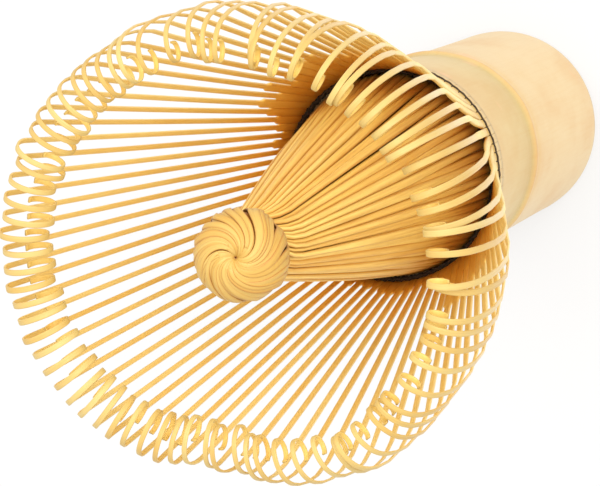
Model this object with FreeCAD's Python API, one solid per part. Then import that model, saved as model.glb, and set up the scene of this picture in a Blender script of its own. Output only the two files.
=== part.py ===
import FreeCAD, Part
import math
import os

# Bamboo tea whisk (chasen), standing on its handle.
# Origin: centre of the handle's flat end.  +Z runs up the handle to the tips of the tines.
# All lengths in millimetres, all angles named _DEG in degrees.

# ---- handle: one length of bamboo culm, hollow each side of its node
HANDLE_R = 11.75           # outside radius at the foot
FOOT_EDGE = 0.4            # eased edge round the foot
WAIST_R = 11.7             # the barrel draws in a little half way up
NODE_Z = 36.1              # height of the ridge where the skin is peeled back
NODE_R = 12.08
NODE_HALF = 0.8
RIDGE_RISE = 0.1
CROWN_FOOT_R = 11.7        # peeled bamboo just above the ridge
CROWN_BELLY = 0.1          # how little it has swelled half way up
CROWN_R = 12.2             # peeled bamboo where the tines begin
CROWN_TOP_Z = 54.4
BORE_R = 7.5               # hollow of the culm, open at the foot
BORE_TOP_Z = 30.4
SEPTUM_LOW_Z = 31.4        # the node's cross-wall, slightly domed
SEPTUM_TOP_Z = 34.2
CAVITY_R = 8.4             # hollow of the culm above the cross-wall
CAVITY_FOOT_Z = 35.0

# ---- outer tines: free strips that flare out and curl in at the tip
OUTER_COUNT = 78
TINES_PER_GROUP = 3
OUTER_ROOT_R = 12.0        # middle of the strip, where it leaves the binding
OUTER_WIDTH = 0.5
ROOT_THICK = 0.4
TIP_THICK = 0.28
ROOT_TOP_Z = 57.6          # top of the fixed root, in the binding
FREE_Z = 57.7              # foot of the free strip, and height of its flexing line
SHAFT_LENGTH = 60.6        # where the curl is round
LEAN_ROOT_DEG = 10.5       # lean from upright at the root
LEAN_TIP_DEG = 11.6        # lean from upright where the curl begins
# the bloom leans unevenly: (waves round the ring, cosine part, sine part) in degrees
LEAN_WAVES_DEG = ((1, 1.89, -0.67), (2, 0.14, -0.82), (3, -0.32, -0.18))

# ---- the curl: four turns after the straight shaft, each tighter than the last
CURL_TURNS_DEG = (35.0, 60.0, 100.0, 165.0)
ROUND_CURL_R = (2.75, 2.45, 2.25, 1.3)   # bend radii of a round curl, on the -X side
OPEN_CURL_R = (8.4, 3.6, 1.7, 1.0)       # and of a drawn-out one, on the +X side
OPEN_SHORTENS = 5.0        # the drawn-out curl begins this much lower
ROUND_AZIMUTH_DEG = 175.0  # middle of the round curls
ROUND_HALF_DEG = 35.0      # they reach this far each side of it
OPEN_HALF_DEG = 130.0      # and beyond this far the curls are fully drawn out

# ---- inner tines: tapered strips gathered into a cone under the twisted ball
INNER_COUNT = 72
INNER_GROUPS = 12
INNER_FOOT = (CROWN_TOP_Z, 11.12, 0.40, 0.78)    # height, middle radius, thickness, width
INNER_HEAD = (111.9, 2.35, 0.30, 0.17)           # the same where the strip enters the ball
BALL_R = 4.48
BALL_Z = 115.6
BALL_FOOT_Z = INNER_HEAD[0]
BALL_X = 0.33              # the ball sits a little off the axis
BALL_Y = -1.09

# ---- binding thread
THREAD_R = 0.18
WRAP_R = 12.39             # middle of the outside line, against the roots
WRAP_Z = 56.7
WEAVE_R = 11.57            # middle of the rows between the two rings of tines
WEAVE_ROWS = (55.9, 56.35, 56.8, 57.25)
STITCH_R = 0.12

Z_AXIS = FreeCAD.Vector(0, 0, 1)
ORIGIN = FreeCAD.Vector(0, 0, 0)


def save(name, solids):
    """Write one node: a single solid, or a group of separate solids."""
    shape = solids[0] if len(solids) == 1 else Part.makeCompound(solids)
    shape.exportStep("parts/%s.step" % name)
    print("%-20s %3d solids  %9.2f mm3  valid %s"
          % (name, len(solids), shape.Volume, shape.isValid()))


def line(a, b):
    return Part.LineSegment(a, b).toShape()


def arc(a, b, c):
    return Part.Arc(a, b, c).toShape()


def at(radius, z):
    """A point in the plane that holds the axis and +X."""
    return FreeCAD.Vector(radius, 0, z)


def dome(rim, crest_z):
    """An arc of a sphere centred on the axis, from its rim to its crest."""
    rise = crest_z - rim.z
    radius = (rim.x ** 2 + rise ** 2) / (2 * abs(rise))
    half = math.asin(rim.x / radius) / 2
    middle_z = crest_z - math.copysign(radius * (1 - math.cos(half)), rise)
    return arc(rim, at(radius * math.sin(half), middle_z), at(0, crest_z))


def turned(edges):
    """The solid of revolution of a closed outline."""
    face = Part.Face(Part.Wire(edges))
    return face.revolve(ORIGIN, Z_AXIS, 360)


def handle():
    """Culm with its ridge and cross-wall, and the peeled crown that the tines are split from."""
    ridge_low = at(NODE_R - RIDGE_RISE, NODE_Z - NODE_HALF)
    ridge_high = at(NODE_R - RIDGE_RISE, NODE_Z + NODE_HALF / 2)
    crown_foot = at(CROWN_FOOT_R, NODE_Z + NODE_HALF)
    crown_top = at(CROWN_R, CROWN_TOP_Z)
    edges = [
        line(at(BORE_R, 0), at(HANDLE_R - FOOT_EDGE, 0)),
        line(at(HANDLE_R - FOOT_EDGE, 0), at(HANDLE_R, FOOT_EDGE)),
        arc(at(HANDLE_R, FOOT_EDGE), at(WAIST_R, NODE_Z / 2), ridge_low),
        arc(ridge_low, at(NODE_R, NODE_Z - NODE_HALF / 4), ridge_high),
        line(ridge_high, crown_foot),
        arc(crown_foot, at(CROWN_FOOT_R + CROWN_BELLY, (NODE_Z + CROWN_TOP_Z) / 2), crown_top),
        line(crown_top, at(CAVITY_R, CROWN_TOP_Z)),
        line(at(CAVITY_R, CROWN_TOP_Z), at(CAVITY_R, CAVITY_FOOT_Z)),
        dome(at(CAVITY_R, CAVITY_FOOT_Z), SEPTUM_TOP_Z),
        line(at(0, SEPTUM_TOP_Z), at(0, SEPTUM_LOW_Z)),
        dome(at(BORE_R, BORE_TOP_Z), SEPTUM_LOW_Z),
        line(at(BORE_R, BORE_TOP_Z), at(BORE_R, 0)),
    ]
    return turned(edges)


def extra_lean_deg(azimuth):
    """How much further than average the bloom leans out at this azimuth (radians in)."""
    return sum(cosine * math.cos(waves * azimuth) + sine * math.sin(waves * azimuth)
               for waves, cosine, sine in LEAN_WAVES_DEG)


def outward(lean):
    """Unit vector square to a strip that leans by this angle, on its outer side."""
    return FreeCAD.Vector(math.cos(lean), 0, -math.sin(lean))


def bend(centre, radius, lean_start, lean_end, offsets):
    """One edge of a strip along a bend: an arc through three offset points.
    A negative radius bends outwards, a positive one inwards."""
    leans = (lean_start, (lean_start + lean_end) / 2, lean_end)
    return arc(*[centre + outward(a) * (radius + o) for a, o in zip(leans, offsets)])


def openness(azimuth):
    """0 where the curl is round, 1 where it is drawn out, and a soft change between."""
    away = abs((math.degrees(azimuth) - ROUND_AZIMUTH_DEG + 180) % 360 - 180)
    share = min(max((away - ROUND_HALF_DEG) / (OPEN_HALF_DEG - ROUND_HALF_DEG), 0), 1)
    return share * share * (3 - 2 * share)


def outer_tine(azimuth):
    """One free outer strip: a long, very shallow bow, then the turns of the curl."""
    extra = math.radians(extra_lean_deg(azimuth))
    open_share = openness(azimuth)
    lean = math.radians(LEAN_ROOT_DEG) + extra
    tip_lean = math.radians(LEAN_TIP_DEG) + extra
    bow_r = (SHAFT_LENGTH - OPEN_SHORTENS * open_share) / (tip_lean - lean)

    root = ROOT_THICK / 2
    tip = TIP_THICK / 2
    bow_centre = at(OUTER_ROOT_R, FREE_Z) + outward(lean) * bow_r
    bends = [(bow_centre, -bow_r, lean, tip_lean, (root, (root + tip) / 2, tip))]
    point = bow_centre - outward(tip_lean) * bow_r
    lean = tip_lean
    for turn_deg, round_r, open_r in zip(CURL_TURNS_DEG, ROUND_CURL_R, OPEN_CURL_R):
        radius = round_r + (open_r - round_r) * open_share
        centre = point - outward(lean) * radius
        next_lean = lean - math.radians(turn_deg)
        bends.append((centre, radius, lean, next_lean, (tip, tip, tip)))
        point = centre + outward(next_lean) * radius
        lean = next_lean

    outer, inner = [[bend(centre, radius, start, end, [sign * o for o in offsets])
                     for centre, radius, start, end, offsets in bends] for sign in (1, -1)]
    tip_cap = line(outer[-1].Vertexes[-1].Point, inner[-1].Vertexes[-1].Point)
    root_cap = line(inner[0].Vertexes[0].Point, outer[0].Vertexes[0].Point)
    wire = Part.Wire(outer + [tip_cap] + inner[::-1] + [root_cap])
    strip = Part.Face(wire).extrude(FreeCAD.Vector(0, OUTER_WIDTH, 0))
    strip.translate(FreeCAD.Vector(0, -OUTER_WIDTH / 2, 0))
    strip.rotate(ORIGIN, Z_AXIS, math.degrees(azimuth))
    return strip


def outer_root(azimuth):
    """The fixed foot of one outer strip, held by the binding."""
    foot = Part.makeBox(ROOT_THICK, OUTER_WIDTH, ROOT_TOP_Z - CROWN_TOP_Z,
                        FreeCAD.Vector(OUTER_ROOT_R - ROOT_THICK / 2, -OUTER_WIDTH / 2, CROWN_TOP_Z))
    foot.rotate(ORIGIN, Z_AXIS, math.degrees(azimuth))
    return foot


def inner_tine(azimuth_deg):
    """One inner strip, between two level sections: it leans in and narrows on its way to the ball."""
    sections = []
    for z, radius, thick, width in (INNER_FOOT, INNER_HEAD):
        share = (z - CROWN_TOP_Z) / (BALL_Z - CROWN_TOP_Z)
        corners = [FreeCAD.Vector(radius + i * thick / 2, j * width / 2, z)
                   for i, j in ((-1, -1), (1, -1), (1, 1), (-1, 1), (-1, -1))]
        section = Part.makePolygon(corners)
        section.rotate(ORIGIN, Z_AXIS, azimuth_deg)
        section.translate(FreeCAD.Vector(BALL_X * share, BALL_Y * share, 0))
        sections.append(section)
    return Part.makeLoft(sections, True, True)


def tip_ball():
    """The knob that the inner tips are twisted into, flat where the strips enter it."""
    foot_r = math.sqrt(BALL_R ** 2 - (BALL_Z - BALL_FOOT_Z) ** 2)
    top = at(0, BALL_Z + BALL_R)
    edges = [
        arc(top, at(BALL_R, BALL_Z), at(foot_r, BALL_FOOT_Z)),
        line(at(foot_r, BALL_FOOT_Z), at(0, BALL_FOOT_Z)),
        line(at(0, BALL_FOOT_Z), top),
    ]
    ball = turned(edges)
    ball.translate(FreeCAD.Vector(BALL_X, BALL_Y, 0))
    return ball


def thread_ring(radius, z):
    return Part.makeTorus(radius, THREAD_R, FreeCAD.Vector(0, 0, z), Z_AXIS)


def stitch(azimuth_deg):
    """A pass of thread between two roots, from the woven rows out to the outside line."""
    direction = FreeCAD.Rotation(Z_AXIS, azimuth_deg).multVec(FreeCAD.Vector(1, 0, 0))
    start = direction * WEAVE_R + FreeCAD.Vector(0, 0, WRAP_Z)
    return Part.makeCylinder(STITCH_R, WRAP_R - WEAVE_R, start, direction)


os.makedirs("parts", exist_ok=True)
pitch = 360.0 / OUTER_COUNT
inner_pitch = 360.0 / INNER_COUNT

save("handle", [handle()])
save("outer_tine_roots", [outer_root(math.radians(i * pitch)) for i in range(OUTER_COUNT)])
save("tip_ball", [tip_ball()])
save("thread_outer_wrap", [thread_ring(WRAP_R, WRAP_Z)])
save("thread_inner_weave", [thread_ring(WEAVE_R, z) for z in WEAVE_ROWS])
save("thread_stitches", [stitch((i + 0.5) * pitch) for i in range(OUTER_COUNT)])

for group in range(OUTER_COUNT // TINES_PER_GROUP):
    members = range(group * TINES_PER_GROUP, (group + 1) * TINES_PER_GROUP)
    save("outer_tines_%02d" % (group + 1), [outer_tine(math.radians(i * pitch)) for i in members])

for group in range(INNER_GROUPS):
    size = INNER_COUNT // INNER_GROUPS
    members = range(group * size, (group + 1) * size)
    save("inner_tines_%02d" % (group + 1), [inner_tine(i * inner_pitch) for i in members])
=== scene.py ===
import math

import bpy
import numpy as np
from mathutils import Matrix, Vector


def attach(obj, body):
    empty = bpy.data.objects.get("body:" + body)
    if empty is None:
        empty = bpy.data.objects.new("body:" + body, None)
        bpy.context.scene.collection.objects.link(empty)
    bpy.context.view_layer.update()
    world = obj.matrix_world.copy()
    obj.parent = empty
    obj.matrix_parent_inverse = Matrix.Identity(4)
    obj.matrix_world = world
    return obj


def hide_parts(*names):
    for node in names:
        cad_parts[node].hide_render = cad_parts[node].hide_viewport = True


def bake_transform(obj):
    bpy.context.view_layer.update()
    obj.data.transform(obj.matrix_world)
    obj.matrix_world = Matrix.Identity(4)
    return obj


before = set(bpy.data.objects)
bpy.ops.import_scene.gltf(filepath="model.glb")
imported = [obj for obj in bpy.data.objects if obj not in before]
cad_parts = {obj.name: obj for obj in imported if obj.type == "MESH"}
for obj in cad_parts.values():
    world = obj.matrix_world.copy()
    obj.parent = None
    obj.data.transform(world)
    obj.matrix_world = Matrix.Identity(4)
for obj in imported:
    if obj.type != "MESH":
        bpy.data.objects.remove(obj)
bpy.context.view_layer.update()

# Bamboo tea whisk, dressed for the camera.  Metres, +Z up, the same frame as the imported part.
MM = 0.001
rng = np.random.default_rng(78)

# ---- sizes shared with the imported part, in millimetres
HANDLE_R = 11.75
NODE_Z = 36.1
PEELED_R = 11.66           # just above the ridge of the node
CROWN_R = 12.2
CROWN_TOP_Z = 54.4
BORE_R = 7.5               # hollow in the foot
BORE_TOP_Z = 30.4
CAVITY_R = 8.4             # hollow above the node
CAVITY_FLOOR_Z = 35.0
OUTER_COUNT = 78
TINES_PER_GROUP = 3
ROOT_R = 12.0
ROOT_THICK = 0.40
SPLIT_Z = 56.7             # the slits between the outer strips open above this height
FREE_Z = 57.7              # and the tines are free to flex above this one
SHAFT_LENGTH = 60.6
LEAN_ROOT_DEG = 10.5
LEAN_TIP_DEG = 11.6
# waves of the lean round the bloom: waves in a turn, cosine part and sine part in degrees
LEAN_WAVES_DEG = ((1, 1.89, -0.67), (2, 0.14, -0.82), (3, -0.32, -0.18))
ROUND_AZIMUTH_DEG = 175.0  # the curls are roundest here
ROUND_HALF_DEG = 35.0      # and just as round this far to either side
OPEN_HALF_DEG = 130.0      # and drawn out from this far on
INNER_COUNT = 72
INNER_GROUPS = 12
BALL = np.array([0.33, -1.09, 115.6])
BALL_R = 4.48
WRAP_Z = 56.7
WEAVE_R = 11.57
WEAVE_ROWS = (55.9, 56.35, 56.8, 57.25)


# ======================================================================= small helpers
def unit(v):
    v = np.asarray(v, float)
    return v / np.maximum(np.linalg.norm(v, axis=-1, keepdims=True), 1e-12)


def smooth(x, lo, hi):
    t = np.clip((np.asarray(x, float) - lo) / (hi - lo), 0, 1)
    return t * t * (3 - 2 * t)


def radial(azimuth):
    return np.array([math.cos(azimuth), math.sin(azimuth), 0.0])


def tangential(azimuth):
    return np.array([-math.sin(azimuth), math.cos(azimuth), 0.0])


class Shape:
    """Gathers vertices in millimetres, faces and per-vertex values, and makes one mesh of them."""

    def __init__(self):
        self.points, self.faces, self.fibre, self.tone, self.grow, self.skin = [], [], [], [], [], []
        self.count = 0

    def add(self, points, faces, fibre, tone, grow, skin):
        n = len(points)
        self.points.append(points)
        self.faces += [tuple(int(i) + self.count for i in f) for f in faces]
        self.fibre.append(np.broadcast_to(fibre, (n, 3)))
        for store, value in ((self.tone, tone), (self.grow, grow), (self.skin, skin)):
            store.append(np.broadcast_to(np.asarray(value, float), (n,)))
        self.count += n

    def build(self, name, material, node, body="handle_body", sharp=None):
        mesh = bpy.data.meshes.new(name)
        points = np.concatenate(self.points) * MM
        mesh.from_pydata(points.tolist(), [], self.faces)
        mesh.polygons.foreach_set("use_smooth", [True] * len(mesh.polygons))
        fibre = mesh.attributes.new("fibre", "FLOAT_VECTOR", "POINT")
        fibre.data.foreach_set("vector", np.concatenate(self.fibre).astype(np.float32).ravel())
        for key, store in (("tone", self.tone), ("grow", self.grow), ("skin", self.skin)):
            layer = mesh.attributes.new(key, "FLOAT", "POINT")
            layer.data.foreach_set("value", np.concatenate(store).astype(np.float32))
        if sharp is not None:
            mesh.set_sharp_from_angle(angle=math.radians(sharp))
        mesh.materials.append(material)
        mesh.update()
        piece = bpy.data.objects.new(name, mesh)
        bpy.context.scene.collection.objects.link(piece)
        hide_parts(node)
        if body:
            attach(piece, body)
        return piece


SECTION_POINTS = 15


def rounded_section(a, b, c):
    """Points round a strip of half width a, half thickness b and corner c, as (across, out)."""
    return np.array([
        (a - c, b), (a - 0.3 * c, b - 0.3 * c), (a, b - c),
        (a, -b + c), (a - 0.3 * c, -b + 0.3 * c), (a - c, -b),
        (-a + c, -b), (-a + 0.3 * c, -b + 0.3 * c), (-a, -b + c),
        (-a, b - c), (-a + 0.3 * c, b - 0.3 * c), (-a + c, b),
        (-0.5 * (a - c), b), (0.0, b), (0.5 * (a - c), b),
    ])


def add_strip(shape, centre, across, width, thick, seed, tone, grow,
              crown=0.0, corner_share=0.5, edge=0.0):
    """A strip of bamboo along a line of centres.  across is the direction of its width, and its skin
    is on the side of across x along.  crown lifts the middle of the skin side, edge fades the skin
    colour to the darker flesh colour towards the two long edges (partly cut flesh, partly painted
    shade in the lines between strips), and seed gives each strip its own fibres."""
    centre = np.asarray(centre, float)
    n = len(centre)
    k = SECTION_POINTS
    along = unit(np.gradient(centre, axis=0))
    across = np.broadcast_to(across, (n, 3))
    across = unit(across - along * np.sum(across * along, axis=1, keepdims=True))
    out = np.cross(across, along)
    width = np.broadcast_to(width, (n,))
    thick = np.broadcast_to(thick, (n,))
    grow = np.broadcast_to(grow, (n,))
    step = np.linalg.norm(np.diff(centre, axis=0), axis=1)
    length = np.concatenate([[0], np.cumsum(step)])
    points, fibre, skin = [], [], []
    for i in range(n):
        corner = corner_share * thick[i]
        section = rounded_section(width[i] / 2, thick[i] / 2, min(corner, 0.45 * width[i]))
        outside = section[:, 1] > 0
        lift = crown * (1 - (2 * section[:, 0] / width[i]) ** 2) * outside
        points.append(centre[i] + section[:, :1] * across[i] + (section[:, 1] + lift)[:, None] * out[i])
        fibre.append(np.column_stack([section[:, 0] + 5.3 * seed, np.full(k, length[i]),
                                      section[:, 1] + 3.7 * seed]))
        # towards the long edges the skin colour gives way to the flesh colour: partly cut flesh, partly
        # painted shade between strips
        to_edge = np.abs(section[:, 0]) / (width[i] / 2)
        skin.append(outside * (1 - edge * smooth(to_edge, 0.62, 0.98)))
    faces = []
    for i in range(n - 1):
        for j in range(k):
            faces.append((i * k + j, i * k + (j + 1) % k, (i + 1) * k + (j + 1) % k, (i + 1) * k + j))
    faces.append(tuple(range(k - 1, -1, -1)))
    faces.append(tuple((n - 1) * k + j for j in range(k)))
    shape.add(np.concatenate(points), faces, np.concatenate(fibre), tone,
              np.repeat(grow, k), np.concatenate(skin))


# ======================================================================= materials
def node_tree(name):
    material = bpy.data.materials.new(name)
    material.use_nodes = True
    tree = material.node_tree
    tree.nodes.clear()
    output = tree.nodes.new("ShaderNodeOutputMaterial")
    shader = tree.nodes.new("ShaderNodeBsdfPrincipled")
    tree.links.new(shader.outputs[0], output.inputs[0])
    return material, tree, shader


def value_of(tree, name, kind="Fac"):
    node = tree.nodes.new("ShaderNodeAttribute")
    node.attribute_name = name
    return node.outputs[kind]


def noise(tree, vector, scale, detail=3.0, roughness=0.6, stretch=None):
    if stretch is not None:
        mapping = tree.nodes.new("ShaderNodeMapping")
        mapping.inputs["Scale"].default_value = stretch
        tree.links.new(vector, mapping.inputs["Vector"])
        vector = mapping.outputs[0]
    node = tree.nodes.new("ShaderNodeTexNoise")
    node.inputs["Scale"].default_value = scale
    node.inputs["Detail"].default_value = detail
    node.inputs["Roughness"].default_value = roughness
    tree.links.new(vector, node.inputs["Vector"])
    return node.outputs["Fac"]


def ramp(tree, factor, stops):
    node = tree.nodes.new("ShaderNodeValToRGB")
    elements = node.color_ramp.elements
    while len(elements) < len(stops):
        elements.new(0.5)
    for element, (place, colour) in zip(elements, stops):
        element.position = place
        element.color = (*colour, 1.0)
    tree.links.new(factor, node.inputs["Fac"])
    return node.outputs["Color"]


def spread(tree, value, low, high, new_low, new_high):
    node = tree.nodes.new("ShaderNodeMapRange")
    for key, number in (("From Min", low), ("From Max", high), ("To Min", new_low), ("To Max", new_high)):
        node.inputs[key].default_value = number
    tree.links.new(value, node.inputs["Value"])
    return node.outputs[0]


def mixed(tree, a, b, factor, mode="MIX"):
    node = tree.nodes.new("ShaderNodeMix")
    node.data_type = "RGBA"
    node.blend_type = mode
    for socket, item in ((node.inputs[6], a), (node.inputs[7], b), (node.inputs[0], factor)):
        if isinstance(item, (int, float)):
            socket.default_value = item
        elif isinstance(item, tuple):
            socket.default_value = (*item, 1.0)
        else:
            tree.links.new(item, socket)
    return node.outputs[2]


def bumped(tree, shader, height, strength, distance):
    node = tree.nodes.new("ShaderNodeBump")
    node.inputs["Strength"].default_value = strength
    node.inputs["Distance"].default_value = distance
    tree.links.new(height, node.inputs["Height"])
    tree.links.new(node.outputs[0], shader.inputs["Normal"])


def strip_material(name, stops, skin_stops, fibre_dark, streak=0.4, gloss=(0.38, 0.55),
                   warm=(0.94, 0.85, 0.68), band=(0.95, 0.86, 0.70), band_scale=(1.6, 0.10, 1.6)):
    """Split bamboo: lengthwise fibres and bands, a colour that changes from root to tip, another on
    the skin side, and some strips warmer than others."""
    material, tree, shader = node_tree(name)
    fibre = value_of(tree, "fibre", "Vector")
    grow = value_of(tree, "grow")
    tone = value_of(tree, "tone")
    skin = value_of(tree, "skin")
    fine = noise(tree, fibre, 1.0, 4.0, 0.65, (9.0, 0.22, 9.0))
    broad = noise(tree, fibre, 1.0, 2.0, 0.5, band_scale)
    base = mixed(tree, ramp(tree, grow, stops), ramp(tree, grow, skin_stops), skin)
    dark = mixed(tree, base, fibre_dark, 1.0, "MULTIPLY")
    colour = mixed(tree, base, dark, spread(tree, fine, 0.48, 0.72, 0.0, streak))
    colour = mixed(tree, colour, mixed(tree, colour, band, 1.0, "MULTIPLY"),
                   spread(tree, broad, 0.40, 0.7, 0.0, 0.55))
    warmer = mixed(tree, colour, warm, 1.0, "MULTIPLY")
    colour = mixed(tree, colour, warmer, spread(tree, tone, -1.0, 1.0, 0.0, 1.0))
    tree.links.new(colour, shader.inputs["Base Color"])
    tree.links.new(spread(tree, fine, 0.3, 0.7, gloss[0], gloss[1]), shader.inputs["Roughness"])
    shader.inputs["Specular IOR Level"].default_value = 0.35
    bumped(tree, shader, fine, 0.35, 0.00004)
    return material


# Outer tines: both sides more orange and the skin darker towards the root, partly the bamboo's own colour
# and partly painted shade low in the bloom by the thread.
outer_bamboo = strip_material(
    "outer_bamboo",
    [(0.0, (0.88, 0.45, 0.050)), (0.08, (0.92, 0.53, 0.080)), (0.28, (0.74, 0.54, 0.170)),
     (0.78, (0.68, 0.50, 0.175)), (0.90, (0.68, 0.49, 0.140)), (1.0, (0.66, 0.47, 0.130))],
    # skin side darker again from 0.76 on, on the curls: partly their own yellower colour, partly painted
    # shade that evens out the stronger light the curls catch
    [(0.0, (0.60, 0.42, 0.150)), (0.08, (0.66, 0.49, 0.200)), (0.28, (0.80, 0.64, 0.250)),
     (0.66, (0.78, 0.62, 0.270)), (0.76, (0.59, 0.47, 0.280)), (0.85, (0.50, 0.370, 0.135)),
     (1.0, (0.48, 0.345, 0.105))],
    (0.86, 0.70, 0.48))
# Inner bamboo: brighter than the ball, which is made of the same strips: painted light that evens out the
# shade deep inside the bloom.
inner_bamboo = strip_material(
    "inner_bamboo",
    # flesh colour, dark: it also shows along the strips' edges as painted shade between them
    [(0.0, (0.56, 0.25, 0.025)), (0.25, (0.52, 0.24, 0.025)), (1.0, (0.50, 0.24, 0.030))],
    [(0.0, (0.87, 0.60, 0.140)), (0.25, (0.84, 0.61, 0.155)), (0.70, (0.81, 0.59, 0.165)),
     (1.0, (0.79, 0.58, 0.170))],
    (0.84, 0.68, 0.42), 0.50, warm=(0.92, 0.78, 0.56),
    band=(0.70, 0.50, 0.26), band_scale=(3.4, 0.06, 3.4))
# Ball bamboo: darker than the inner bamboo it is made of: painted shade that evens out the stronger light
# on the ball; its dark flesh colour is also painted shade for the slits and the core.
ball_bamboo = strip_material(
    "ball_bamboo",
    [(0.0, (0.34, 0.13, 0.02)), (1.0, (0.40, 0.17, 0.03))],
    [(0.0, (0.50, 0.335, 0.090)), (0.5, (0.51, 0.345, 0.094)), (1.0, (0.51, 0.345, 0.094))],
    (0.78, 0.56, 0.30), 0.55, (0.33, 0.5))


def culm_material():
    """The handle: smooth pale rind below the ridge, scraped bamboo above it, cut flesh inside."""
    material, tree, shader = node_tree("culm_bamboo")
    fibre = value_of(tree, "fibre", "Vector")
    grow = value_of(tree, "grow")
    skin = value_of(tree, "skin")
    place = tree.nodes.new("ShaderNodeTexCoord").outputs["Object"]
    fine = noise(tree, fibre, 1.0, 4.0, 0.6, (3.2, 0.10, 3.2))
    broad = noise(tree, fibre, 1.0, 3.0, 0.55, (0.16, 0.07, 0.16))
    # darker round the node: the golden line on the ridge is the node's own colour; the dip at 0.675, on
    # the step just above the ridge, is painted shade in the hollow there
    rind = ramp(tree, grow, [
        (0.0, (0.585, 0.43, 0.215)), (0.55, (0.575, 0.415, 0.195)), (0.635, (0.555, 0.38, 0.155)),
        (0.655, (0.53, 0.335, 0.130)), (0.675, (0.45, 0.33, 0.125)), (0.72, (0.49, 0.36, 0.140)),
        (0.85, (0.52, 0.37, 0.140)), (1.0, (0.53, 0.37, 0.145))])
    colour = mixed(tree, rind, mixed(tree, rind, (0.97, 0.88, 0.74), 1.0, "MULTIPLY"),
                   spread(tree, fine, 0.45, 0.75, 0.0, 0.55))
    colour = mixed(tree, colour, mixed(tree, colour, (0.97, 0.90, 0.86), 1.0, "MULTIPLY"),
                   spread(tree, broad, 0.45, 0.62, 0.0, 0.8))
    specks = noise(tree, place, 190.0, 1.0, 0.4)
    specks = spread(tree, specks, 0.735, 0.80, 0.0, 0.55)
    colour = mixed(tree, colour, (0.62, 0.36, 0.17), specks)
    flesh = mixed(tree, (0.86, 0.60, 0.30), (0.68, 0.42, 0.18), spread(tree, fine, 0.4, 0.7, 0.0, 1.0))
    colour = mixed(tree, flesh, colour, skin)
    tree.links.new(colour, shader.inputs["Base Color"])
    tree.links.new(spread(tree, broad, 0.3, 0.7, 0.34, 0.46), shader.inputs["Roughness"])
    shader.inputs["Specular IOR Level"].default_value = 0.4
    bumped(tree, shader, fine, 0.12, 0.00006)
    return material


def thread_material():
    """Dark cotton thread: plied, so its colour winds round it."""
    material, tree, shader = node_tree("dark_thread")
    fibre = value_of(tree, "fibre", "Vector")
    wave = tree.nodes.new("ShaderNodeTexWave")
    wave.bands_direction = "DIAGONAL"
    wave.inputs["Scale"].default_value = 1.6
    wave.inputs["Distortion"].default_value = 1.5
    tree.links.new(fibre, wave.inputs["Vector"])
    colour = mixed(tree, (0.020, 0.011, 0.005), (0.095, 0.055, 0.024), wave.outputs["Fac"])
    tree.links.new(colour, shader.inputs["Base Color"])
    fuzz = noise(tree, fibre, 6.0)
    tree.links.new(spread(tree, fuzz, 0.3, 0.7, 0.65, 0.9), shader.inputs["Roughness"])
    bumped(tree, shader, wave.outputs["Fac"], 0.6, 0.00005)
    return material


culm = culm_material()
thread = thread_material()


# ======================================================================= handle
def add_lathe(shape, profile, grow, skin, seed=0.0, wobble=None):
    """Turns an open profile of (radius, z) into a surface; wobble changes each ring slightly."""
    m = len(profile)
    turns = 192
    azimuths = np.linspace(0, 2 * math.pi, turns, endpoint=False)
    points, fibre = [], []
    for r, z in profile:
        if wobble is not None:
            r = r + wobble(azimuths, z)
        points.append(np.column_stack([r * np.cos(azimuths), r * np.sin(azimuths), np.full(turns, z)]))
        fibre.append(np.column_stack([11 * np.cos(azimuths) + seed, np.full(turns, z),
                                      11 * np.sin(azimuths)]))
    faces = []
    for i in range(m - 1):
        for j in range(turns):
            k = (j + 1) % turns
            faces.append((i * turns + j, i * turns + k, (i + 1) * turns + k, (i + 1) * turns + j))
    shape.add(np.concatenate(points), faces, np.concatenate(fibre), 0.0,
              np.repeat(np.asarray(grow, float), turns), np.repeat(np.asarray(skin, float), turns))


def arc_points(centre, radius, start, end, count):
    angles = np.radians(np.linspace(start, end, count))
    return [(centre[0] + radius * math.cos(a), centre[1] + radius * math.sin(a)) for a in angles]


def dome(rim_r, rim_z, crest_z, count):
    """Heights of a shallow dome from its rim to the axis."""
    rise = crest_z - rim_z
    radius = (rim_r ** 2 + rise ** 2) / (2 * abs(rise))
    out = []
    for r in np.linspace(rim_r, 0.02, count):
        out.append((r, crest_z - math.copysign(radius - math.sqrt(radius ** 2 - r ** 2), rise)))
    return out


RIDGE_Z = NODE_Z - 0.35     # the ridge is sharpest just below the node
RIDGE_HEIGHT = 0.26
FOOT_ROUND = 0.42


def barrel_outline():
    """Radius and height up the outside of the culm, from the foot to the top of the crown."""
    outline = [(11.0, 0.0), (11.2, 0.0)]
    outline += arc_points((HANDLE_R - 0.45, FOOT_ROUND), FOOT_ROUND, -90, -5, 6)
    for z in np.linspace(1.2, 33.4, 30):
        waist = 0.05 * math.sin(math.pi * z / NODE_Z)
        outline.append((HANDLE_R - waist + 0.10 * smooth(z, 26, 34), z))
    for z in np.linspace(33.8, 38.6, 34):
        ridge = RIDGE_HEIGHT * math.exp(-((z - RIDGE_Z) / 0.62) ** 2)
        step = smooth(z, 35.9, 37.2)
        outline.append(((HANDLE_R + 0.05) * (1 - step) + PEELED_R * step + ridge, z))
    for z in np.linspace(39.2, CROWN_TOP_Z, 24):
        share = (z - NODE_Z) / (CROWN_TOP_Z - NODE_Z)
        outline.append((PEELED_R + (CROWN_R - PEELED_R) * share ** 1.7, z))
    return np.array(outline)


def culm_wobble(azimuth, z):
    """How far the culm is from round: slow waves all the way up and an uneven ridge."""
    ring = np.sin(azimuth * 2 + 0.6) * 0.035 + np.sin(azimuth * 3 + 2.0) * 0.02
    ridge = math.exp(-((z - NODE_Z + 0.2) / 1.6) ** 2)
    return ring * smooth(z, 0, 3) * (1 - smooth(z, 50, 54)) + ridge * (
        0.04 * np.sin(azimuth * 5 + 1.0) + 0.03 * np.sin(azimuth * 11 + 0.3))


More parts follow.
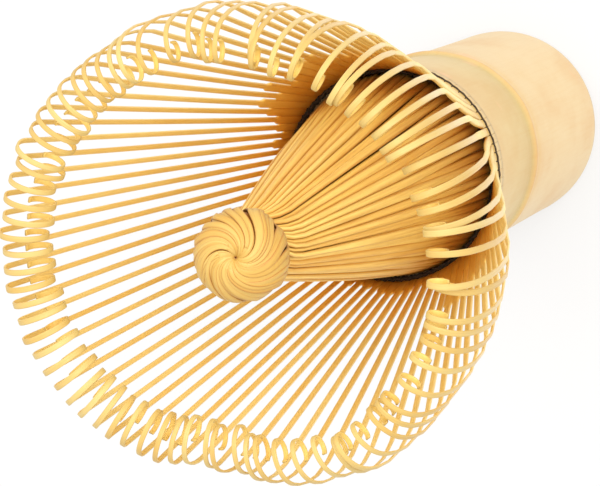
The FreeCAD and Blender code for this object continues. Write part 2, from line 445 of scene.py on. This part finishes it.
def make_handle():
    shape = Shape()
    outside = barrel_outline()
    rim = [(CROWN_R - 0.08, CROWN_TOP_Z), (10.4, CROWN_TOP_Z),
           (CAVITY_R + 0.2, CROWN_TOP_Z - 0.02), (CAVITY_R, CROWN_TOP_Z - 0.2)]
    inner = rim + [(CAVITY_R, z) for z in np.linspace(53.5, CAVITY_FLOOR_Z + 0.6, 8)]
    inner += dome(CAVITY_R, CAVITY_FLOOR_Z, CAVITY_FLOOR_Z - 0.8, 10)
    profile = np.concatenate([outside, inner])
    skin = np.concatenate([np.ones(len(outside)), np.zeros(len(inner))])
    skin[:2] = 0               # the cut face under the foot
    add_lathe(shape, profile, profile[:, 1] / CROWN_TOP_Z, skin, wobble=culm_wobble)

    low = [(11.0, 0.0), (9.4, 0.0), (BORE_R + 0.3, 0.0), (BORE_R + 0.1, 0.05), (BORE_R, 0.2)]
    low += [(BORE_R, z) for z in np.linspace(1.5, BORE_TOP_Z - 0.4, 10)]
    low += dome(BORE_R, BORE_TOP_Z, BORE_TOP_Z + 1.0, 10)
    low = np.array(low)[::-1]
    add_lathe(shape, low, low[:, 1] / CROWN_TOP_Z, np.zeros(len(low)), seed=40.0)
    return shape.build("handle_culm", culm, "handle", sharp=50)


make_handle()


# ======================================================================= outer tines
# places where the bloom bulges or is pressed in: azimuth, half width and lean, in degrees
LEAN_BULGES_DEG = ((277, 20, 1.6), (239, 12, -0.7), (72, 20, 0.8))
OPEN_SHORTENS = 15.6        # a drawn-out curl begins this much lower down
SHAFT_STEPS = 24
CURL_STEPS = 48
# how far the curl has turned, in degrees, and its bend radius there, round and drawn out
TURNED = (0, 15, 35, 60, 95, 130, 195, 240, 300, 360)
ROUND_R = (2.9, 2.75, 2.6, 2.5, 2.40, 2.35, 2.0, 1.40, 1.20, 1.15)
OPEN_R = (50.0, 30.0, 6.0, 2.6, 1.7, 1.4, 1.25, 0.95, 0.9, 0.9)


def extra_lean(azimuth):
    """Degrees by which the bloom leans out further than average."""
    lean = sum(cosine * math.cos(waves * azimuth) + sine * math.sin(waves * azimuth)
               for waves, cosine, sine in LEAN_WAVES_DEG)
    for place, half_width, more in LEAN_BULGES_DEG:
        away = (math.degrees(azimuth) - place + 180) % 360 - 180
        lean += more * math.exp(-(away / half_width) ** 2)
    return lean


def openness(azimuth):
    """0 where the curl is round, 1 where it is drawn out."""
    away = abs((math.degrees(azimuth) - ROUND_AZIMUTH_DEG + 180) % 360 - 180)
    return float(smooth(away, ROUND_HALF_DEG, OPEN_HALF_DEG))


def within(azimuth, low, high, soft=20.0):
    """1 between two azimuths in degrees, 0 outside, and a soft change between."""
    here = math.degrees(azimuth) % 360
    return float(smooth(here, low - soft, low) * (1 - smooth(here, high, high + soft)))


def near_side(azimuth):
    """1 on the side the camera is on, 0 on the far side."""
    return 0.5 + 0.5 * math.cos(azimuth + math.radians(8))


def tine_habit(azimuth):
    """How one outer tine differs from the rest.  Lengths in millimetres, angles in radians."""
    tilt = 0.15 * within(azimuth, 95, 205, 35) - 0.03
    lobe = within(azimuth, 45, 112) + within(azimuth, 290, 325, 14)
    return {
        "lean": math.radians(rng.normal(0, 0.10)),
        "long": rng.normal(0, 0.18),
        "drawn": float(np.clip(rng.normal(1, 0.05), 0.85, 1.1)),
        "curl": float(np.clip(rng.normal(1, 0.03), 0.92, 1.08)),
        "hook": float(np.clip(rng.normal(1.02, 0.09), 0.80, 1.25)),
        "turn": float(np.clip(rng.normal(1.0, 0.04), 0.88, 1.10)),
        "sway": float(np.clip(rng.normal(0, 0.09), -0.2, 0.2)),
        "tilt": float(np.clip(rng.normal(tilt, 0.025), tilt - 0.06, tilt + 0.06)),
        # the strip keeps its full width up to here, and higher in two lobes of the ring
        "shoulder": 1.0 + 2.4 * rng.random() + lobe * (4 + 11 * rng.random()),
        "tone": rng.uniform(-1, 1),
    }


def tine_path(azimuth, who):
    """Line of centres of one outer strip: radius, height, sideways shift and distance along."""
    extra = math.radians(extra_lean(azimuth))
    drawn = openness(azimuth) * who["drawn"]
    extra += who["lean"] + math.radians(0.6) * drawn
    lean = math.radians(LEAN_ROOT_DEG) + extra
    tip_lean = math.radians(LEAN_TIP_DEG) + extra
    length = SHAFT_LENGTH - OPEN_SHORTENS * drawn + who["long"]
    leans = [(lean + (tip_lean - lean) * (i + 0.5) / SHAFT_STEPS, length / SHAFT_STEPS)
             for i in range(SHAFT_STEPS)]
    total = 360.0 * who["turn"]
    for i in range(CURL_STEPS):
        turned = total * (i + 0.5) / CURL_STEPS
        round_r = np.interp(turned, TURNED, ROUND_R)
        open_r = np.interp(turned, TURNED, OPEN_R)
        radius = (1 - drawn) * round_r + drawn * open_r
        radius *= who["curl"] * (1 + (who["hook"] - 1) * float(smooth(turned, 150, 220)))
        leans.append((tip_lean - math.radians(turned), radius * math.radians(total / CURL_STEPS)))
    lean, step = np.array(leans).T
    r = ROOT_R + np.concatenate([[0], np.cumsum(np.sin(lean) * step)])
    z = FREE_Z + np.concatenate([[0], np.cumsum(np.cos(lean) * step)])
    s = np.concatenate([[0], np.cumsum(step)])
    lifted = (z - z[SHAFT_STEPS]) * smooth(s, length - 1.5, length + 2.5)
    side = who["sway"] * (s / length) ** 2 + who["tilt"] * lifted
    return r, z, side, s, length


def tine_stations(azimuth, who):
    """Centres of one outer strip, the distance along it and the length of its shaft."""
    r, z, side, s, length = tine_path(azimuth, who)
    # extra stations make the end of the shoulder crisp
    marks = who["shoulder"] + np.array([-0.02, 0.22, 0.45])
    at = np.sort(np.concatenate([s, marks[marks > 0.05]]))
    r, z, side = (np.interp(at, s, v) for v in (r, z, side))
    # the foot runs down to the split, square to the ring
    foot = np.array([SPLIT_Z, SPLIT_Z + 0.35, SPLIT_Z + 0.7])
    s = np.concatenate([foot - FREE_Z, at])
    r = np.concatenate([np.full(3, ROOT_R), r])
    z = np.concatenate([foot, z])
    side = np.concatenate([np.zeros(3), side])
    centre = (r[:, None] * radial(azimuth) + side[:, None] * tangential(azimuth)
              + z[:, None] * np.array([0, 0, 1.0]))
    return centre, r, s, length


def tine_size(azimuth, who, r, s, length):
    """Width and thickness along one outer strip: full at the foot, slim above the shoulder."""
    near = near_side(azimuth)
    full = np.minimum(2 * math.pi * r / OUTER_COUNT - 0.02, 0.96 + 0.03 * np.maximum(s, 0))
    slim = 0.55 + 0.29 * near ** 2 - (0.04 + 0.04 * near) * smooth(s, 10, 45)
    at_curl = 0.07 - 0.20 * near ** 2 - 0.48 * near * (1 - near)
    slim = slim + at_curl * smooth(s, length - 8, length + 5)
    width = full + (slim - full) * smooth(s, who["shoulder"], who["shoulder"] + 0.45)
    thick = 0.42 + 0.10 * near - 0.08 * np.clip(s / length, 0, 1)
    thick = thick - (0.11 + 0.10 * near) * smooth(s, length - 8, length + 2)
    return width, np.where(s <= 0, ROOT_THICK, thick)


def make_outer():
    for g in range(OUTER_COUNT // TINES_PER_GROUP):
        shape = Shape()
        for i in range(g * TINES_PER_GROUP, (g + 1) * TINES_PER_GROUP):
            azimuth = 2 * math.pi * i / OUTER_COUNT
            who = tine_habit(azimuth)
            centre, r, s, length = tine_stations(azimuth, who)
            width, thick = tine_size(azimuth, who, r, s, length)
            add_strip(shape, centre, tangential(azimuth), width, thick, i + 1,
                      who["tone"], np.clip(s / s[-1], 0, 1), corner_share=0.32)
        piece = shape.build("outer_tines_g%02d" % (g + 1), outer_bamboo,
                            "outer_tines_%02d" % (g + 1), body=None)
        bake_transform(piece)


make_outer()


def make_roots():
    """The ring of outer strips below the thread, where the slits haven't opened."""
    shape = Shape()
    pitch = 2 * math.pi / OUTER_COUNT
    for i in range(OUTER_COUNT):
        azimuth = i * pitch
        z = np.array([CROWN_TOP_Z, CROWN_TOP_Z + 0.8, CROWN_TOP_Z + 1.5, SPLIT_Z])
        centre = ROOT_R * radial(azimuth) + z[:, None] * np.array([0, 0, 1.0])
        width = np.array([0.968, 0.966, 0.960, 0.94])    # the slit opens a little towards the thread
        add_strip(shape, centre, tangential(azimuth), width, ROOT_THICK, i + 200,
                  rng.uniform(-0.3, 0.3), 1.0, corner_share=0.10)
    shape.build("outer_tine_feet", culm, "outer_tine_roots")


make_roots()


# ======================================================================= inner tines
INNER_ROOT_R = 11.12
INNER_TIP_R = 2.0           # where the strips run into the ball
INNER_TIP_Z = 113.6
INNER_BELLY = 0.45
# strips lie in threes: how far out and how far round (in pitches) each of the three moves
ROW_OUT = (0.15, -0.26, -0.05)
ROW_ROUND = (0.0, -0.25, -0.5)


def inner_strip(i, pitch):
    """Centres, width direction, width and thickness of one strip of the cone, and its place in it."""
    z = CROWN_TOP_Z + (INNER_TIP_Z - CROWN_TOP_Z) * np.linspace(0, 1, 26)
    share = (z - CROWN_TOP_Z) / (BALL[2] - CROWN_TOP_Z)
    r = INNER_ROOT_R + (INNER_TIP_R - INNER_ROOT_R) * share
    r = r + INNER_BELLY * np.sin(math.pi * share)
    # one strip in three slips under its neighbours as the cone narrows, and they close over it
    tuck = smooth(share, 0.05, 0.50)
    row = i % 3
    r = r + ROW_OUT[row] * tuck + rng.normal(0, 0.04) * tuck
    shift = ROW_ROUND[row] * pitch * tuck
    wave = rng.normal(0, 0.07) * np.sin(math.pi * share) + rng.normal(0, 0.04) * np.sin(
        2 * math.pi * share + rng.uniform(0, 6))
    swirl = 0.55 * smooth(share, 0.86, 1.0)
    angle = pitch * i + shift + wave / np.maximum(r, 3) + swirl
    ex = np.cos(angle)
    ey = np.sin(angle)
    centre = np.column_stack([r * ex + BALL[0] * share, r * ey + BALL[1] * share, z])
    roll = rng.normal(0, 0.10) * tuck
    across = np.column_stack([-ey * np.cos(roll) + ex * np.sin(roll),
                              ex * np.cos(roll) + ey * np.sin(roll), np.zeros_like(ex)])
    room = pitch * r * (1 + 0.5 * tuck)
    width = np.minimum(1.22, room * (0.93 + 0.13 * tuck)) * (1 + rng.normal(0, 0.03) * tuck)
    return centre, across, width, 0.44 - 0.14 * share, share


def make_inner():
    size = INNER_COUNT // INNER_GROUPS
    pitch = 2 * math.pi / INNER_COUNT
    for g in range(INNER_GROUPS):
        shape = Shape()
        for i in range(g * size, (g + 1) * size):
            centre, across, width, thick, share = inner_strip(i, pitch)
            # the edge fade darkens the strips' edges: partly cut flesh, partly painted shade between
            # strips
            add_strip(shape, centre, across, width, thick, i + 300,
                      rng.uniform(-1, 1), share, crown=0.10, corner_share=0.5, edge=0.75)
        shape.build("inner_tines_g%02d" % (g + 1), inner_bamboo,
                    "inner_tines_%02d" % (g + 1))


make_inner()


# ======================================================================= ball
BALL_LEAN = math.radians(8)
BALL_TILT = np.array([[math.cos(BALL_LEAN), 0, math.sin(BALL_LEAN)], [0, 1, 0],
                      [-math.sin(BALL_LEAN), 0, math.cos(BALL_LEAN)]])
RIBBONS = 40
CROSSING_RIBBONS = 9
CORE_R = 4.02


def add_ribbon(shape, start, first, last, twist_deg, rise, slant, width, seed, tone):
    """A strip wound from near the crown of the ball round its side; first, last and twist_deg are
    in degrees, and start and slant in radians."""
    steps = np.linspace(0, 1, 44)
    polar = np.radians(first + (last - first) * steps)
    twist = math.radians(twist_deg) * np.sin(np.minimum(polar, math.pi / 2)) ** 0.9
    twist = twist + math.radians(42) * np.clip((polar - math.pi / 2) / (math.pi / 2), 0, 1)
    angle = start + twist
    dip = 0.95 * np.exp(-(polar / math.radians(11)) ** 2)
    radius = BALL_R - 0.13 + rise * np.sin(polar) ** 0.5 - dip
    normal = np.column_stack([np.sin(polar) * np.cos(angle), np.sin(polar) * np.sin(angle), np.cos(polar)])
    flat = radius[:, None] * normal
    flat[:, 2] *= 0.98
    centre = flat @ BALL_TILT.T + BALL
    along = unit(np.gradient(centre, axis=0))
    outward = unit(centre - BALL)
    across = unit(np.cross(along, outward))
    across = unit(across * math.cos(slant) + outward * math.sin(slant))
    wide = width * np.clip(np.sin(polar) * 1.1 + 0.16, 0.22, 1)
    # the edge fade darkens the ribbons' edges: partly cut flesh, partly painted shade along the slits
    add_strip(shape, centre, across, wide, 0.17, seed, tone, steps,
              crown=0.04, corner_share=0.45, edge=0.7)


def add_shadow_core(shape):
    """A dark core under the ribbons: a sheet of painted shade that shows through the slits between them.
    """
    profile = [(CORE_R * math.sin(a), CORE_R * math.cos(a) - 0.5 * math.exp(-(a / 0.25) ** 2))
               for a in np.linspace(0.02, math.pi - 0.02, 24)]
    turns = 48
    azimuths = np.linspace(0, 2 * math.pi, turns, endpoint=False)
    rings = [np.column_stack([r * np.cos(azimuths), r * np.sin(azimuths), np.full(turns, z)])
             for r, z in profile]
    points = np.concatenate(rings) @ BALL_TILT.T + BALL
    faces = []
    for a in range(len(profile) - 1):
        for j in range(turns):
            k = (j + 1) % turns
            faces.append((a * turns + j, (a + 1) * turns + j, (a + 1) * turns + k, a * turns + k))
    # darkest flesh colour and warmest tone: painted shade
    shape.add(points, faces, points, 1.0, 0.0, 0.0)


def make_ball():
    shape = Shape()
    for i in range(RIBBONS):
        start = 2 * math.pi * i / RIBBONS + rng.normal(0, 0.05)
        twist = 112 + rng.normal(0, 7)
        rise = rng.normal(0, 0.05) + 0.05 * (i % 3 == 0)
        slant = 0.20 + rng.normal(0, 0.10)
        width = 0.80 + rng.normal(0, 0.12)
        add_ribbon(shape, start, 2.5, 156, twist, rise, slant, width, i + 500, rng.uniform(-1, 1))
    for i in range(CROSSING_RIBBONS):
        start = rng.uniform(0, 2 * math.pi)
        first = rng.uniform(10, 22)
        last = rng.uniform(100, 150)
        twist = 112 + rng.normal(0, 22)
        rise = 0.10 + rng.uniform(0, 0.05)
        slant = rng.normal(0.1, 0.1)
        width = rng.uniform(0.45, 0.75)
        add_ribbon(shape, start, first, last, twist, rise, slant, width, i + 600, rng.uniform(-1, 0.4))
    add_shadow_core(shape)
    shape.build("tip_knot", ball_bamboo, "tip_ball")


make_ball()


# ======================================================================= thread
WRAP_R = 12.29              # the outside line sinks a little between the strips
PASS_R = (11.5, 12.28)      # a pass of thread runs out between these radii
STEPS_PER_TINE = 8


def add_tube(shape, path, radius, closed=True, sides=8):
    """A round thread along a path, with flat ends if it isn't closed."""
    path = np.asarray(path, float)
    n = len(path)
    if closed:
        along = unit(np.roll(path, -1, axis=0) - np.roll(path, 1, axis=0))
    else:
        along = unit(np.gradient(path, axis=0))
    up = np.broadcast_to(np.array([0, 0, 1.0]), (n, 3))
    side = unit(np.cross(along, up))
    up = np.cross(side, along)
    turns = np.linspace(0, 2 * math.pi, sides, endpoint=False)
    points = (path[:, None, :] + radius * (np.cos(turns)[None, :, None] * side[:, None, :]
                                           + np.sin(turns)[None, :, None] * up[:, None, :]))
    step = np.linalg.norm(np.diff(path, axis=0), axis=1)
    length = np.concatenate([[0], np.cumsum(step)])
    fibre = np.stack([np.broadcast_to(turns[None, :], (n, sides)),
                      np.broadcast_to(length[:, None], (n, sides)), np.zeros((n, sides))], axis=2)
    faces = []
    last = n if closed else n - 1
    for i in range(last):
        for j in range(sides):
            a, b = i, (i + 1) % n
            k = (j + 1) % sides
            faces.append((a * sides + j, a * sides + k, b * sides + k, b * sides + j))
    if not closed:
        faces.append(tuple(range(sides - 1, -1, -1)))
        faces.append(tuple((n - 1) * sides + j for j in range(sides)))
    shape.add(points.reshape(-1, 3), faces, fibre.reshape(-1, 3), 0.0, 0.0, 0.0)


def ring_path(radius, z, ripple, lift, phase):
    """A turn of thread that goes in and out between the tines."""
    azimuths = np.linspace(0, 2 * math.pi, OUTER_COUNT * STEPS_PER_TINE, endpoint=False)
    wave = np.cos(azimuths * OUTER_COUNT + phase)
    r = radius + ripple * wave
    slow = 0.05 * np.sin(azimuths * 3 + 1.0) + 0.04 * np.sin(azimuths * 7 + 2.0)
    h = z + lift * np.cos(azimuths * OUTER_COUNT / 2 + phase) + slow
    return np.column_stack([r * np.cos(azimuths), r * np.sin(azimuths), h])


def make_thread():
    outside = Shape()
    add_tube(outside, ring_path(WRAP_R, WRAP_Z, 0.025, 0.05, 0.0), 0.095)
    outside.build("thread_outside", thread, "thread_outer_wrap")
    weave = Shape()
    for row, z in enumerate(WEAVE_ROWS):
        add_tube(weave, ring_path(WEAVE_R, z, 0.12, 0.05, math.pi * (row % 2)), 0.13)
    weave.build("thread_weave", thread, "thread_inner_weave")
    passes = Shape()
    for i in range(OUTER_COUNT):
        azimuth = 2 * math.pi * (i + 0.5) / OUTER_COUNT
        r = np.linspace(*PASS_R, 5)
        z = WRAP_Z + 0.2 + 0.15 * np.sin(np.linspace(0, math.pi, 5))
        path = r[:, None] * radial(azimuth) + z[:, None] * np.array([0, 0, 1.0])
        add_tube(passes, path, 0.08, closed=False, sides=6)
    passes.build("thread_passes", thread, "thread_stitches")


make_thread()


# ======================================================================= floor, light, camera
FLOOR_R = 3.0
FLOOR_GLOW = 0.58
LAMP_COLOUR = (1.0, 0.985, 0.96)
# soft lamps: name, place, what it points at, size and power
LAMPS = (
    ("key", (-0.02, 0.48, 0.58), (0, 0, 0.08), 0.55, 2.0),
    ("fill", (0.60, -0.02, 0.46), (0, 0, 0.07), 0.6, 2.1),
    ("front", (0.24, 0.05, 0.72), (0, 0, 0.08), 0.3, 1.9),
)


def make_floor():
    bpy.ops.mesh.primitive_circle_add(vertices=96, radius=FLOOR_R, fill_type="NGON", location=(0, 0, 0))
    floor = bpy.context.object
    floor.name = "floor"
    material, tree, shader = node_tree("pale_floor")
    place = tree.nodes.new("ShaderNodeTexCoord").outputs["Object"]
    shade = noise(tree, place, 3.0)
    tree.links.new(mixed(tree, (0.20, 0.20, 0.20), (0.22, 0.22, 0.22), shade), shader.inputs["Base Color"])
    shader.inputs["Roughness"].default_value = 0.9
    shader.inputs["Emission Color"].default_value = (1, 1, 1, 1)
    shader.inputs["Emission Strength"].default_value = FLOOR_GLOW
    floor.data.materials.append(material)


def make_light():
    world = bpy.data.worlds.new("studio")
    bpy.context.scene.world = world
    world.use_nodes = True
    background = world.node_tree.nodes["Background"]
    background.inputs["Color"].default_value = (1.0, 0.99, 0.975, 1)
    background.inputs["Strength"].default_value = 1.50
    for name, place, aim, size, power in LAMPS:
        light = bpy.data.lights.new(name, "AREA")
        light.size = size
        light.energy = power
        light.color = LAMP_COLOUR
        lamp = bpy.data.objects.new(name, light)
        bpy.context.scene.collection.objects.link(lamp)
        lamp.location = place
        lamp.rotation_mode = "QUATERNION"
        lamp.rotation_quaternion = (Vector(aim) - Vector(place)).to_track_quat("-Z", "Y")


make_floor()
make_light()


LENS = 210.5
CAMERA_PLACE = (0.106288, 0.0, 0.428845)
CAMERA_BACK = (0.30476, 0.00706, 0.95240)     # the way its back points
CAMERA_UP = (0.38862, 0.91202, -0.13111)


def make_camera():
    data = bpy.data.cameras.new("camera")
    data.sensor_width = 36.0
    data.lens = LENS
    data.clip_start = 0.01
    data.clip_end = 20
    camera = bpy.data.objects.new("camera", data)
    bpy.context.scene.collection.objects.link(camera)
    back = Vector(CAMERA_BACK)
    right = Vector(CAMERA_UP).cross(back).normalized()
    up = back.cross(right).normalized()
    back.normalize()
    turn = Matrix((right, up, back)).transposed().to_4x4()
    camera.matrix_world = Matrix.Translation(CAMERA_PLACE) @ turn
    bpy.context.scene.camera = camera


make_camera()
bpy.context.scene.view_settings.view_transform = "Standard"
bpy.context.scene.view_settings.look = "None"
